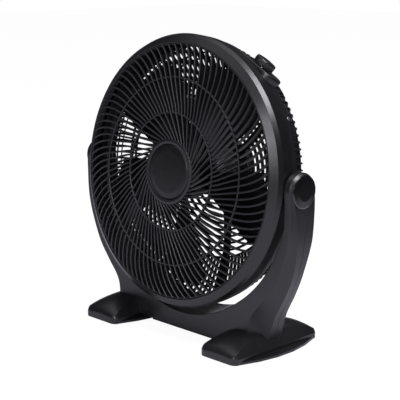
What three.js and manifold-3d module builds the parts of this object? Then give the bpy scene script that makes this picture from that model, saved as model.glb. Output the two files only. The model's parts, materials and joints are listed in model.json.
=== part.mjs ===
// A 16-inch floor fan: a round drum head that tilts between the arms of a U-shaped stand on two feet.
// Millimetres, +Z up, front of the fan towards -Y. Origin: on the floor, under the middle of the box.
import * as THREE from "three";
import { mergeVertices } from "three/addons/utils/BufferGeometryUtils.js";
import Module from "manifold-3d";

const wasm = await Module();
wasm.setup();

// ---- driving dimensions -------------------------------------------------------------------------
const GAP = 0.3; // between pieces that touch
const PIVOT_Z = 283; // tilt axis above the floor
const REST_TILT = -6; // degrees about +X: the head faces slightly up
const ORIGIN_Y = 14; // the feet reach further back than forward of the tilt axis

// head, in its own frame: Y is the fan's axis, the tilt axis crosses it at 0
const OPENING_R = 215;
const BEZEL_R = 231.8;
const BEZEL_FRONT = -46;
const SEAM_Y = -6; // bezel meets drum
const DRUM_R = 229.4;
const DRUM_REAR = 12;
const GRILLE_LEDGE_R = 219; // the drum's rear lip, round the rear grille
const WALL = 2.5;
const RING_SEGMENTS = 32;

// front grille
const HUB_R = 56;
const RIB_INNER_RING = 99;
const RIB_OUTER_RING = 158;
const FRONT_RIBS = 22;
const RIB_WIDTH = 3;
const RIB_DEPTH = 7;

// rear grille
const REAR_RIBS = 18;
const MOTOR_PLATE_R = 60;
const MOTOR_PLATE_Y = 80;

// impeller and motor
const BLADES = 5;
const BLADE_R = 194;
const BLADE_HUB_R = 46;
const SHAFT_R = 4;
const MOTOR_R = 43;

// stand
const ARM_INNER_X = 233.4;
const ARM_OUTER_X = 249;
const ARM_TOP_R = 30;
const U_RADIUS = 240;
const STAND_FRONT = -29;
const STAND_SEAM = 6; // front shell meets rear shell
const CROSSBAR_BOTTOM = 9;
const CAP_R = 27;

// feet
const FOOT_X = 147;
const FOOT_Y = ORIGIN_Y;
const FOOT_HALF_WIDTH = 63;
const FOOT_HALF_LENGTH = 103;
const FOOT_ARC_R = 228;
const FOOT_END_HALF = 29;
const PAD_HEIGHT = 2.4;

// control knob: its place on the drum and the lean of its panel
const KNOB_ANGLE = 35; // degrees clockwise from the top, seen from the front
const PANEL_LEAN = 30; // the panel's normal, degrees clockwise from the top
const PANEL_BACK = 17; // and degrees towards the back
const PANEL_Y = 11.5;
const KNOB_R = 18.5;
const KNOB_HEIGHT = 12;

const finishes = {
  stand: { color: 0x2c2c2e, roughness: 0.5, metalness: 0 },
  bezel: { color: 0x1f1f21, roughness: 0.3, metalness: 0 },
  grille: { color: 0x2e2d33, roughness: 0.5, metalness: 0 },
  blade: { color: 0x17171a, roughness: 0.45, metalness: 0 },
  gloss: { color: 0x101012, roughness: 0.12, metalness: 0 },
  rubber: { color: 0x1a1a1a, roughness: 0.9, metalness: 0 },
  steel: { color: 0x9a9c9f, roughness: 0.35, metalness: 1 },
  shield: { color: 0x8d9093, roughness: 0.45, metalness: 1 },
  copper: { color: 0xa8623a, roughness: 0.4, metalness: 1 },
  brass: { color: 0xb08d4a, roughness: 0.35, metalness: 1 },
};

// ---- solids --------------------------------------------------------------------------------------
const radians = THREE.MathUtils.degToRad;

// A closed geometry as a manifold-3d solid, faces turned outwards.
function solid(geometry) {
  const bare = geometry.clone();
  bare.deleteAttribute("normal");
  bare.deleteAttribute("uv");
  const merged = mergeVertices(bare, 1e-4);
  const build = (triVerts) =>
    new wasm.Manifold(
      new wasm.Mesh({ numProp: 3, vertProperties: merged.attributes.position.array, triVerts }),
    );
  const corners = [];
  for (let i = 0; i < merged.index.count; i += 3) {
    const [a, b, c] = merged.index.array.slice(i, i + 3);
    if (a !== b && b !== c && c !== a) corners.push(a, b, c);
  }
  const made = build(new Uint32Array(corners));
  return made.volume() > 0 ? made : build(new Uint32Array(corners.reverse()));
}

// A manifold-3d solid as a three.js geometry.
function geometryOf(body) {
  const mesh = body.getMesh();
  const positions = new Float32Array(mesh.numVert * 3);
  for (let i = 0; i < mesh.numVert; i++) {
    positions.set(mesh.vertProperties.subarray(i * mesh.numProp, i * mesh.numProp + 3), i * 3);
  }
  const geometry = new THREE.BufferGeometry();
  geometry.setAttribute("position", new THREE.BufferAttribute(positions, 3));
  geometry.setIndex(new THREE.BufferAttribute(mesh.triVerts, 1));
  geometry.computeVertexNormals();
  return geometry;
}

const union = (bodies) => bodies.reduce((sum, body) => sum.add(body));
const cut = (body, tools) => tools.reduce((rest, tool) => rest.subtract(tool), body);
const moved = (geometry, x, y, z) => geometry.translate(x, y, z);

// A ring or disc turned about the Y axis from points [radius, y]; a hollow profile closes on itself.
function turned(profile, segments = RING_SEGMENTS) {
  const points = profile.map(([r, y]) => new THREE.Vector2(r, y));
  const closed = profile[0][0] > 0 || profile.at(-1)[0] > 0;
  if (closed) points.push(points[0].clone());
  return new THREE.LatheGeometry(points, segments);
}

// A plain ring about Y.
const ring = (inner, outer, y0, y1, segments = RING_SEGMENTS) =>
  turned([[inner, y0], [outer, y0], [outer, y1], [inner, y1]], segments);

// A plain disc or rod about Y.
const disc = (radius, y0, y1, segments = 24) =>
  turned([[0, y0], [radius, y0], [radius, y1], [0, y1]], segments);

// The same rod turned to lie along X.
const rodX = (radius, x0, x1, segments = 24) => disc(radius, x0, x1, segments).rotateZ(-Math.PI / 2);
const rodZ = (radius, z0, z1, segments = 24) => disc(radius, z0, z1, segments).rotateX(Math.PI / 2);

// A closed skin over equal loops of points; a strip across the loop closes each end.
function loft(loops) {
  const size = loops[0].length;
  const positions = loops.flat().flatMap((p) => [p.x, p.y, p.z]);
  const index = [];
  for (let i = 0; i + 1 < loops.length; i++) {
    for (let j = 0; j < size; j++) {
      const k = (j + 1) % size;
      const [a, b, c, d] = [i * size + j, i * size + k, (i + 1) * size + k, (i + 1) * size + j];
      index.push(a, b, c, a, c, d);
    }
  }
  const last = (loops.length - 1) * size;
  for (let j = 0; j < size / 2 - 1; j++) {
    const [a, b, c, d] = [j, j + 1, size - 2 - j, size - 1 - j];
    index.push(a, c, b, a, d, c, last + a, last + b, last + c, last + a, last + c, last + d);
  }
  const geometry = new THREE.BufferGeometry();
  geometry.setAttribute("position", new THREE.Float32BufferAttribute(positions, 3));
  geometry.setIndex(index);
  return geometry;
}

// A bar of rectangular section along points; side(i) gives the direction of its width.
function bar(points, width, depth, side) {
  const loops = points.map((point, i) => {
    const ahead = points[Math.min(i + 1, points.length - 1)];
    const behind = points[Math.max(i - 1, 0)];
    const tangent = ahead.clone().sub(behind).normalize();
    const across = side(i, tangent).normalize();
    const normal = tangent.clone().cross(across).normalize();
    const corner = (a, b) =>
      point.clone().addScaledVector(across, (a * width) / 2).addScaledVector(normal, (b * depth) / 2);
    return [corner(1, 1), corner(-1, 1), corner(-1, -1), corner(1, -1)];
  });
  return loft(loops);
}

// Values between the listed [position, value] stations, straight from one to the next.
function between(stations, at) {
  const next = stations.findIndex(([position]) => position >= at);
  if (next === 0) return stations[0][1];
  if (next < 0) return stations.at(-1)[1];
  const [[p0, v0], [p1, v1]] = [stations[next - 1], stations[next]];
  return v0 + ((v1 - v0) * (at - p0)) / (p1 - p0);
}

// ---- the assembly --------------------------------------------------------------------------------
const fan = new THREE.Group();
fan.position.y = -ORIGIN_Y;
const head = new THREE.Group();
head.position.z = PIVOT_Z;
head.rotation.x = radians(REST_TILT);
fan.add(head);

function place(group, name, finish, shape) {
  const body = shape.isBufferGeometry ? solid(shape) : shape;
  const mesh = new THREE.Mesh(geometryOf(body), new THREE.MeshStandardMaterial(finishes[finish]));
  mesh.name = name;
  group.add(mesh);
  return mesh;
}

// A point of the head frame at a clock angle (degrees clockwise from the top, seen from the front).
function polar(radius, clock, y) {
  const angle = radians(clock);
  return new THREE.Vector3(radius * Math.sin(angle), y, radius * Math.cos(angle));
}

// ---- head: bezel, drum and grilles ---------------------------------------------------------------
const SIDES = [["left", -1], ["right", 1]];
const BOSS_R = 11;
const NUT_R = 6;
const HOUSING_SCREW_CLOCKS = [61, 119, 241, 299];

const pivotHoles = SIDES.map(([, sign]) => solid(rodX(BOSS_R + GAP, sign * 205, sign * 240, 20)));
const nutHoles = SIDES.map(([, sign]) => solid(rodX(NUT_R + 2 * GAP, sign * 205, sign * 225, 12)));

function bezelRing() {
  const profile = [
    [OPENING_R, BEZEL_FRONT], [216.6, BEZEL_FRONT], [228, -37.5], [BEZEL_R, -29.5],
    [DRUM_R + 0.2, SEAM_Y], [227.1, SEAM_Y], [229, -28.8], [226.2, -35.2],
    [OPENING_R, BEZEL_FRONT + WALL],
  ];
  return cut(solid(turned(profile)), pivotHoles);
}

// A radial screw that holds the rear grille's rim inside the drum.
function radialScrew(clock) {
  const screw = turned([[0, 213], [1.6, 213], [1.6, 225.2], [3.6, 225.2], [3, 227.2], [0, 227.2]], 8);
  return screw.rotateX(Math.PI / 2).rotateY(radians(clock)).translate(0, 8, 0);
}

const screwHoles = HOUSING_SCREW_CLOCKS.map((clock) =>
  solid(
    turned([
      [0, 205], [1.6 + GAP, 205], [1.6 + GAP, 224.9], [3.6 + GAP, 224.9], [3.6 + GAP, 232], [0, 232],
    ], 8).rotateX(Math.PI / 2).rotateY(radians(clock)).translate(0, 8, 0),
  ),
);

function drumHousing() {
  const profile = [
    [DRUM_R, SEAM_Y + GAP], [226, 8], [222, DRUM_REAR], [GRILLE_LEDGE_R, DRUM_REAR],
    [GRILLE_LEDGE_R, 4], [224, -2], [224, -16], [226.7, -16], [226.7, SEAM_Y + GAP],
  ];
  return cut(solid(turned(profile)), [...pivotHoles, ...screwHoles, controlOpening()]);
}

// How far a rib of the front grille has swept round by each radius, and how far it domes forward.
const RIB_SWEEP = [[54, -5], [72, 8.5], [99, 20], [150, 29], [213, 37.5]];
const DOME = [[0, -57.5], [56, -57.3], [99, -55.7], [158, -53.8], [213, -46]];

function frontRib(clock) {
  const points = RIB_SWEEP.map(([radius, sweep]) =>
    polar(radius, clock - sweep, between(DOME, radius) + RIB_DEPTH / 2),
  );
  const axis = new THREE.Vector3(0, 1, 0);
  return solid(bar(points, RIB_WIDTH, RIB_DEPTH, (i, tangent) => tangent.clone().cross(axis)));
}

function frontGrille() {
  const domed = (radius, width) => {
    const y = between(DOME, radius);
    return solid(ring(radius - width / 2, radius + width / 2, y + 1, y + RIB_DEPTH + 0.6, FRONT_RIBS));
  };
  const rim = turned([
    [211.6, -46], [OPENING_R - GAP, -46], [OPENING_R - GAP, -38.2], [221.2, -38.2], [221.2, -36],
    [211.6, -36],
  ]);
  const hub = turned([
    [0, -54], [47, -54], [47.5, -56], [52, -57.5], [HUB_R, -55.5], [HUB_R, -50.5], [0, -50.5],
  ], FRONT_RIBS);
  const ribs = Array.from({ length: FRONT_RIBS }, (_, i) => frontRib((i * 360) / FRONT_RIBS));
  return union([solid(rim), solid(hub), domed(RIB_INNER_RING, 3), domed(RIB_OUTER_RING, 3), ...ribs]);
}

const grilleBadge = () =>
  turned([[0, -58], [43.5, -58], [46, -56.8], [46, -54 - GAP], [0, -54 - GAP]], FRONT_RIBS);

// The rear grille's ribs run back from the drum, round its corner and in to the motor plate.
const REAR_CURVE = [
  [215.2, 6], [216, 13], [219, 20], [215, 31], [201, 41], [165, 58], [124, 70.8], [58, 78.2],
];

function rearRib(clock) {
  const points = REAR_CURVE.map(([radius, y]) => polar(radius, clock, y));
  const across = polar(1, clock + 90, 0);
  return solid(bar(points, 2.6, 3.6, () => across.clone()));
}

function rearGrille() {
  const rim = ring(213.6, GRILLE_LEDGE_R - GAP, 4.6, DRUM_REAR - GAP);
  const hoops = [[219, 20, 3.4], [153.4, 62, 4], [106.6, 73, 3.4]];
  const bands = hoops.map(([radius, y, width]) =>
    solid(ring(radius - width / 2, radius + width / 2, y - 1.7, y + 1.7)),
  );
  const plate = ring(17, MOTOR_PLATE_R, MOTOR_PLATE_Y - 3, MOTOR_PLATE_Y, REAR_RIBS);
  const ribs = Array.from({ length: REAR_RIBS }, (_, i) => rearRib(((i + 0.5) * 360) / REAR_RIBS));
  const body = union([solid(rim), solid(plate), ...bands, ...ribs]);
  return cut(body, [...screwHoles, ...motorScrewHoles, ...nutHoles, controlOpening()]);
}

// ---- head: motor ---------------------------------------------------------------------------------
const MOTOR_SEGMENTS = 18;
const MOTOR_SCREW_CIRCLE = 34;
const MOTOR_FRONT = 26;
const MOTOR_REAR = MOTOR_PLATE_Y - 3 - GAP;
const STATOR = [40, 62];

const motorScrewPlaces = [45, 135, 225, 315].map((clock) => polar(MOTOR_SCREW_CIRCLE, clock, 0));
const motorScrewHoles = motorScrewPlaces.map((place) =>
  solid(moved(disc(2.3, MOTOR_REAR - 6.5, MOTOR_PLATE_Y + 1, 8), place.x, 0, place.z)),
);

const motorScrew = (place) =>
  moved(
    turned([
      [0, MOTOR_REAR - 5], [2, MOTOR_REAR - 5], [2, MOTOR_PLATE_Y + GAP], [4, MOTOR_PLATE_Y + GAP],
      [3.4, MOTOR_PLATE_Y + 2.8], [0, MOTOR_PLATE_Y + 2.8],
    ], 8),
    place.x, 0, place.z,
  );

const frontShield = () =>
  turned([
    [9.3, MOTOR_FRONT], [30, MOTOR_FRONT], [MOTOR_R - 4, 30], [MOTOR_R, 35], [MOTOR_R, STATOR[0] - GAP],
    [MOTOR_R - 4, STATOR[0] - GAP], [MOTOR_R - 6, 32.5], [9.3, 32.5],
  ], MOTOR_SEGMENTS);

const rearShield = () =>
  cut(
    solid(turned([
      [9.3, MOTOR_REAR - 6], [MOTOR_R - 6, MOTOR_REAR - 6],
      [MOTOR_R - 4, STATOR[1] + GAP], [MOTOR_R, STATOR[1] + GAP], [MOTOR_R, MOTOR_REAR - 5],
      [MOTOR_R - 3, MOTOR_REAR], [9.3, MOTOR_REAR],
    ], MOTOR_SEGMENTS)),
    motorScrewHoles,
  );

const bearing = (y0, y1) => ring(SHAFT_R + GAP, 9, y0, y1, MOTOR_SEGMENTS);
const statorCore = () => ring(24.5, MOTOR_R - 1, STATOR[0], STATOR[1], MOTOR_SEGMENTS);
const winding = (y0, y1) => ring(26, 35, y0, y1, MOTOR_SEGMENTS);
const rotorCore = () => ring(SHAFT_R + GAP, 23.5, STATOR[0] - 0.5, STATOR[1] + 0.5, MOTOR_SEGMENTS);
const motorShaft = () => disc(SHAFT_R, -43, 84, MOTOR_SEGMENTS);

function motorCover() {
  const outer = [
    [MOTOR_PLATE_R, MOTOR_PLATE_Y + GAP], [MOTOR_PLATE_R, 84], [56, 92], [46, 97], [0, 99],
  ];
  const inner = [[0, 96.5], [45, 94.6], [54, 90.6], [57.4, 84], [57.4, MOTOR_PLATE_Y + GAP]];
  return cut(solid(turned([...outer, ...inner], MOTOR_SEGMENTS)), [glandHole]);
}

const GLAND_Y = 87;
const glandHole = solid(moved(rodZ(6 + GAP, -70, -42, 12), 0, GLAND_Y, 0));

// A short bush that a supply cord would pass through, under the motor cover.
const cordGland = () =>
  moved(
    turned([
      [3.4, 42.5], [6.6, 42.5], [6.6, 45.5], [6, 47], [6, 60.6], [8.5, 60.8], [8.5, 64], [5.5, 68],
      [3.4, 68],
    ], 12).rotateX(-Math.PI / 2),
    0, GLAND_Y, 0,
  );

const capacitor = () => moved(new THREE.BoxGeometry(36, 12, 18), 0, 86.6, 32);

// ---- rotor ---------------------------------------------------------------------------------------
// A blade's stations from root to tip: [radius, leading edge, trailing edge (degrees), front y, rear y].
// It turns clockwise seen from the front, so the leading edge is at the rear and draws the air in.
const BLADE_STATIONS = [
  [40, 23, -23, -27, -3],
  [80, 26, -20, -30, 4],
  [130, 25, -20, -30, 6],
  [180, 22, -20, -27, 6],
  [BLADE_R, 14, -12, -23, 3],
];
const BLADE_THICKNESS = 2.4;
const CHORD_STEPS = 3;

function blade(clock) {
  const loops = BLADE_STATIONS.map(([radius, lead, trail, front, rear]) => {
    const line = (lift) =>
      Array.from({ length: CHORD_STEPS + 1 }, (_, j) => {
        const t = j / CHORD_STEPS;
        const camber = 4 * Math.sin(Math.PI * t);
        return polar(radius, clock + lead + (trail - lead) * t, rear + (front - rear) * t + camber + lift);
      });
    return [...line(-BLADE_THICKNESS / 2), ...line(BLADE_THICKNESS / 2).reverse()];
  });
  return solid(loft(loops));
}

function impeller() {
  const hub = solid(turned([
    [SHAFT_R + GAP, -31], [BLADE_HUB_R - 6, -31], [BLADE_HUB_R, -25], [BLADE_HUB_R, 4],
    [BLADE_HUB_R - 2.5, 4], [BLADE_HUB_R - 2.5, -24], [10, -27], [10, 2], [SHAFT_R + GAP, 2],
  ], 20));
  const bore = solid(disc(BLADE_HUB_R - 2, -26, 12, 20));
  const blades = Array.from({ length: BLADES }, (_, i) => blade((i * 360) / BLADES + 31));
  return hub.add(cut(union(blades), [bore]));
}

const bladeNut = () =>
  turned([
    [SHAFT_R + GAP, -31 - GAP], [16, -31 - GAP], [15, -38], [9, -46], [0, -47], [0, -43.4],
    [SHAFT_R + GAP, -43.4],
  ], 18);

// ---- head: control panel, switch and knob --------------------------------------------------------
const panel = new THREE.Group();
panel.position.copy(polar(228.5, KNOB_ANGLE, PANEL_Y));
// local axes: X along the drum (clockwise), Y away from the panel, Z towards the front
const lean = radians(PANEL_LEAN);
const back = radians(PANEL_BACK);
const panelNormal = new THREE.Vector3(
  Math.sin(lean) * Math.cos(back), Math.sin(back), Math.cos(lean) * Math.cos(back),
);
const panelAlong = new THREE.Vector3(Math.cos(lean), 0, -Math.sin(lean));
const panelFront = panelAlong.clone().cross(panelNormal);
panel.matrixAutoUpdate = false;
panel.matrix.makeBasis(panelAlong, panelNormal, panelFront).setPosition(panel.position);
const inHead = (geometry) => geometry.applyMatrix4(panel.matrix);

// The panel's plan: a long oval round the knob, drawn on the panel's plane.
function ovalPlan(left, right, half) {
  const plan = new THREE.Shape();
  plan.moveTo(left + half, -half);
  plan.lineTo(right - half, -half);
  plan.absarc(right - half, 0, half, -Math.PI / 2, Math.PI / 2, false);
  plan.lineTo(left + half, half);
  plan.absarc(left + half, 0, half, Math.PI / 2, (3 * Math.PI) / 2, false);
  return plan;
}

// The oval raised from y0 to y1 of the panel's frame.
const ovalBlock = (left, right, half, y0, y1) =>
  solid(
    inHead(
      moved(
        new THREE.ExtrudeGeometry(ovalPlan(left, right, half), {
          depth: y1 - y0, bevelEnabled: false, curveSegments: 6,
        }).rotateX(-Math.PI / 2),
        0, y0, 0,
      ),
    ),
  );

// Everything that the control housing stands clear of: the bezel, the drum and the rear grille.
const headEnvelope = () =>
  solid(turned([
    [0, -120], [300, -120], [300, SEAM_Y + 2 * GAP], [DRUM_R + GAP, SEAM_Y + 2 * GAP], [226.4, 8],
    [222.4, DRUM_REAR + GAP], [221.4, 24], [217, 34], [202, 44], [0, 60],
  ]));
const controlOpening = () => ovalBlock(-47, 35, 17, -60, 10);
const SWITCH_BOX = [26, 15, 26];

function controlHousing() {
  const block = ovalBlock(-56, 43, 22.5, -40, 0);
  const hollow = ovalBlock(-48, 36, 18, -45, -2.5);
  const shaftHole = solid(inHead(disc(4, -10, 5, 20)));
  return cut(block, [hollow, headEnvelope(), shaftHole]);
}

const rotarySwitch = () =>
  inHead(moved(new THREE.BoxGeometry(...SWITCH_BOX), 0, -2.8 - SWITCH_BOX[1] / 2, 0));

// The lead runs inside the rear grille from the switch to the motor.
const LEAD_R = 2.5;
function motorLead() {
  const route = [
    [207, 38, 13], [203, 38.5, 22], [190, 41, 38], [150, 45, 56], [100, 46.5, 66.5], [47, 46.5, 69.6],
  ];
  const curve = new THREE.CatmullRomCurve3(route.map(([radius, clock, y]) => polar(radius, clock, y)));
  const section = new THREE.Shape().absarc(0, 0, LEAD_R, 0, 2 * Math.PI);
  return new THREE.ExtrudeGeometry(section, { steps: 10, curveSegments: 3, extrudePath: curve });
}

const KNOB_FLUTES = 24;

// The knob is fluted round its side and slightly domed.
function speedKnob() {
  const outline = new THREE.Shape();
  for (let i = 0; i < KNOB_FLUTES * 2; i++) {
    const angle = (i * Math.PI) / KNOB_FLUTES;
    const radius = KNOB_R - (i % 2 ? 0.5 : 0);
    const point = [radius * Math.cos(angle), radius * Math.sin(angle)];
    if (i) outline.lineTo(...point);
    else outline.moveTo(...point);
  }
  outline.closePath();
  const side = new THREE.ExtrudeGeometry(outline, { depth: KNOB_HEIGHT - 2, bevelEnabled: false })
    .rotateX(-Math.PI / 2)
    .translate(0, 0.6, 0);
  const top = turned([[0, 8], [KNOB_R - 0.6, 8], [KNOB_R - 0.8, 11.4], [13, 12.8], [0, 13.6]], 24);
  const bore = disc(3 + GAP, -1, 7, 20);
  return cut(solid(side).add(solid(top)), [solid(bore)]);
}

// ---- pivots --------------------------------------------------------------------------------------
// Each side: a boss in the drum, a friction washer against the arm, a bolt and its nut, and a cap.
function pivotBoss(sign) {
  const x = [sign * 220.5, sign * 231.6];
  return cut(solid(rodX(BOSS_R, ...x)), [solid(rodX(3 + GAP, sign * 200, sign * 240, 16))]);
}

const hollowRod = (outer, inner, x0, x1, segments) =>
  solid(ring(inner, outer, x0, x1, segments).rotateZ(-Math.PI / 2));

function pivotBolt(sign) {
  const outline = [
    [0, 213], [3, 213], [3, 239.3], [6.5, 239.3], [6.5, 241.5], [4.5, 243.4], [0, 243.4],
  ];
  return turned(outline, 16).rotateZ(-Math.PI / 2 * sign);
}

function pivotCap(sign) {
  const profile = [[0, 249.3], [CAP_R - 1, 249.3], [CAP_R, 250], [24, 251.4], [15, 252.6], [0, 253]];
  return turned(profile, 20).rotateZ(-Math.PI / 2 * sign);
}

// ---- stand ---------------------------------------------------------------------------------------
// Sections of one side of the U on rays from the tilt axis, by degrees below the horizontal:
// the radius of the front face's outer crease, of the outermost corner, and how far the outer
// face reaches forward and back. Below 60 degrees they run along the crossbar's flat bottom.
const CREASE = [[0, 245], [8, 249], [17, 255], [29, 260.4], [37, 265], [45, 267], [54, 277], [60, 316]];
const CORNER = [[0, 249], [12, 254.6], [20, 262.5], [30, 274], [40, 283], [48, 293], [53, 309], [57, 326]];
const CORNER_FRONT = [[0, -26], [17, -12], [30, -8.5], [48, -4], [60, -3]];
const CORNER_BACK = [[0, 27], [17, 26], [30, 18], [40, 21], [53, 28], [60, 30]];
const STAND_BACK = [[0, 30], [30, 31], [38, 37], [48, 46], [60, 52], [90, 52]];
const RAYS = [0, 12, 21, 30, 39, 47, 54, 57, 60, 67, 78, 90];

const floorRadius = (degrees) => (PIVOT_Z - CROSSBAR_BOTTOM) / Math.sin(radians(degrees));
const innerRadius = (degrees) =>
  Math.min(U_RADIUS + between([[55, 0], [85, 5]], degrees), ARM_INNER_X / Math.cos(radians(degrees)));

function standSection(degrees, side, inset) {
  const angle = radians(degrees);
  const floor = degrees > 50 ? floorRadius(degrees) : Infinity;
  const inner = innerRadius(degrees) + inset;
  const crease = Math.min(between(CREASE, degrees), floor) - inset;
  const corner = Math.min(between(CORNER, degrees), floor) - inset;
  const front = STAND_FRONT + inset;
  const rear = between(STAND_BACK, degrees) - inset;
  const low = degrees >= 60;
  const reachFront = low ? front + 4 : between(CORNER_FRONT, degrees);
  const reachBack = low ? rear - 4 : between(CORNER_BACK, degrees);
  const at = (radius, y) =>
    new THREE.Vector3(side * radius * Math.cos(angle), y, PIVOT_Z - radius * Math.sin(angle));
  return [
    at(inner, front), at(crease, front), at(Math.max(corner, crease), reachFront),
    at(Math.max(corner, crease), reachBack), at(crease, rear), at(inner, rear),
  ];
}

function uShape(inset, from) {
  const rays = RAYS.filter((ray) => ray >= from);
  const right = rays.map((ray) => standSection(ray, 1, inset));
  const left = rays.slice(0, -1).reverse().map((ray) => standSection(ray, -1, inset));
  return solid(loft([...right, ...left]));
}

function standShells() {
  const tops = SIDES.map(([, sign]) =>
    solid(moved(rodX(ARM_TOP_R, sign * ARM_INNER_X, sign * ARM_OUTER_X, 32), 0, 0, PIVOT_Z)),
  );
  const bores = SIDES.flatMap(([, sign]) => [
    solid(moved(rodX(3 + 2 * GAP, sign * 225, sign * 255, 16), 0, 0, PIVOT_Z)),
    solid(moved(rodX(8, sign * 239, sign * 255, 20), 0, 0, PIVOT_Z)),
  ]);
  const hollow = uShape(2.6, 12);
  const whole = cut(
    union([uShape(0, 0), ...tops]), [hollow, ...bores, ...standScrewHoles, ...footScrewHoles()],
  );
  const slab = (y0, y1) => solid(moved(new THREE.BoxGeometry(600, y1 - y0, 700), 0, (y0 + y1) / 2, 200));
  return [
    whole.intersect(slab(-100, STAND_SEAM - GAP / 2)),
    whole.intersect(slab(STAND_SEAM + GAP / 2, 100)),
  ];
}

// Screws from the back join the two shells, in the solid ends of the arms and in posts of the crossbar.
const STAND_SCREWS = [["left_arm_screw", -240.5, 262], ["right_arm_screw", 240.5, 262]];
const standScrewHoles = STAND_SCREWS.map(([, x, z]) =>
  solid(moved(disc(1.7 + GAP, -12, 60, 8), x, 0, z)),
);
const standScrew = (x, z) =>
  moved(turned([[0, -10], [1.7, -10], [1.7, 30.3], [3.4, 30.3], [2.8, 32], [0, 32]], 8), x, 0, z);

// ---- feet ----------------------------------------------------------------------------------------
// A foot seen from above: two long arcs cut square at the front and back, with round corners.
function footLoop(z, inset, centreX) {
  const half = FOOT_HALF_WIDTH - inset;
  const length = FOOT_HALF_LENGTH - inset * 0.8;
  const steps = 5;
  const side = Array.from({ length: steps + 1 }, (_, i) => {
    const t = -1 + (2 * i) / steps;
    const y = t * (length - 5);
    return [half - (y * y) / (2 * FOOT_ARC_R), y];
  });
  const end = Math.min(FOOT_END_HALF, side[0][0] - 3);
  const corner = Math.min(end + 8, side[0][0] - 1);
  const right = [[end, -length], [corner, -length + 1.2], ...side, [corner, length - 1.2], [end, length]];
  const left = right.map(([x, y]) => [-x, y]).reverse();
  return [...right, ...left].map(([x, y]) => new THREE.Vector3(centreX + x, FOOT_Y + y, z));
}

// The cover's height at each step in from its edge.
const FOOT_DOME = [[0, 1.6], [0, 11.5], [8, 25.5], [20, 35], [44, 41]];

function footSkin(centreX, inset, drop) {
  const levels = FOOT_DOME.map(([step, z]) => footLoop(z - drop, Math.min(step + inset, 56), centreX));
  return solid(loft(levels));
}

function footCover(sign, standTool) {
  const outer = footSkin(sign * FOOT_X, 0, 0);
  const inner = footSkin(sign * FOOT_X, 3, 3);
  return cut(outer, [inner, standTool]);
}

const BASE_TOP = 5.5;
const PAD_YS = [["front", -62], ["rear", 90]];
const FOOT_SCREW_X = 150;
const FOOT_SCREW_YS = [["front", -16], ["rear", 40]];

// The plate that closes a foot from below, with posts up to the stand and wells for the pads.
function footBase(sign) {
  const x = sign * FOOT_X;
  const plate = solid(loft([footLoop(1.6, 3 + GAP, x), footLoop(BASE_TOP, 3 + GAP, x)]));
  const wells = PAD_YS.map(([, y]) => solid(moved(rodZ(9 + GAP, 0, PAD_HEIGHT + GAP, 12), x, y, 0)));
  const rods = (radius, z0, z1) =>
    FOOT_SCREW_YS.map(([, y]) => solid(moved(rodZ(radius, z0, z1, 8), sign * FOOT_SCREW_X, y, 0)));
  const posts = rods(5, 5, CROSSBAR_BOTTOM - GAP);
  const holes = rods(2 + GAP, 0, 20);
  const heads = rods(4 + GAP, 0, 4);
  return cut(union([plate, ...posts]), [...wells, ...holes, ...heads]);
}

const footPad = (x, y) => moved(rodZ(9, 0, PAD_HEIGHT, 12), x, y, 0);
const footScrew = (x, y) =>
  moved(turned([[0, 2], [4, 2], [4, 3.7], [2, 3.7], [2, 15], [0, 15]], 8).rotateX(Math.PI / 2), x, y, 0);
const footScrewHoles = () =>
  SIDES.flatMap(([, sign]) =>
    FOOT_SCREW_YS.map(([, y]) => solid(moved(rodZ(2 + GAP, 5, 18, 8), sign * FOOT_SCREW_X, y, 0))),
  );

// The tray under the crossbar, set back from its front face.
const crossbarTray = () => moved(new THREE.BoxGeometry(166, 60, 6.4), 0, 11, 5.3);

// ---- putting it together -------------------------------------------------------------------------
const [frontShell, rearShell] = standShells();
place(fan, "stand_front_shell", "stand", frontShell);
place(fan, "stand_rear_shell", "stand", rearShell);
place(fan, "crossbar_tray", "stand", crossbarTray());
for (const [name, x, z] of STAND_SCREWS) place(fan, name, "steel", standScrew(x, z));

const standTool = uShape(-GAP, 0);
for (const [side, sign] of SIDES) {
  place(fan, `${side}_foot_cover`, "stand", footCover(sign, standTool));
  place(fan, `${side}_foot_base`, "stand", footBase(sign));
  for (const [end, y] of PAD_YS) place(fan, `${side}_${end}_pad`, "rubber", footPad(sign * FOOT_X, y));
  for (const [end, y] of FOOT_SCREW_YS) {
    place(fan, `${side}_${end}_foot_screw`, "steel", footScrew(sign * FOOT_SCREW_X, y));
  }
  const cap = place(fan, `${side}_pivot_cap`, "gloss", pivotCap(sign));
  cap.position.z = PIVOT_Z;
  place(head, `${side}_pivot_bolt`, "steel", pivotBolt(sign));
  place(head, `${side}_pivot_boss`, "stand", pivotBoss(sign));
  place(head, `${side}_pivot_nut`, "steel", hollowRod(NUT_R, 3 + 3 * GAP, sign * 214.5, sign * 220, 6));
  place(head, `${side}_friction_washer`, "rubber", hollowRod(9, 3 + GAP, sign * 231.9, sign * 233.1, 16));
}

place(head, "bezel_ring", "bezel", bezelRing());
place(head, "front_grille", "grille", frontGrille());
place(head, "grille_badge", "stand", grilleBadge());
place(head, "drum_housing", "stand", drumHousing());
place(head, "rear_grille", "grille", rearGrille());
HOUSING_SCREW_CLOCKS.forEach((clock, i) => {
  place(head, `housing_screw_${i + 1}`, "steel", radialScrew(clock));
});

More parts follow.
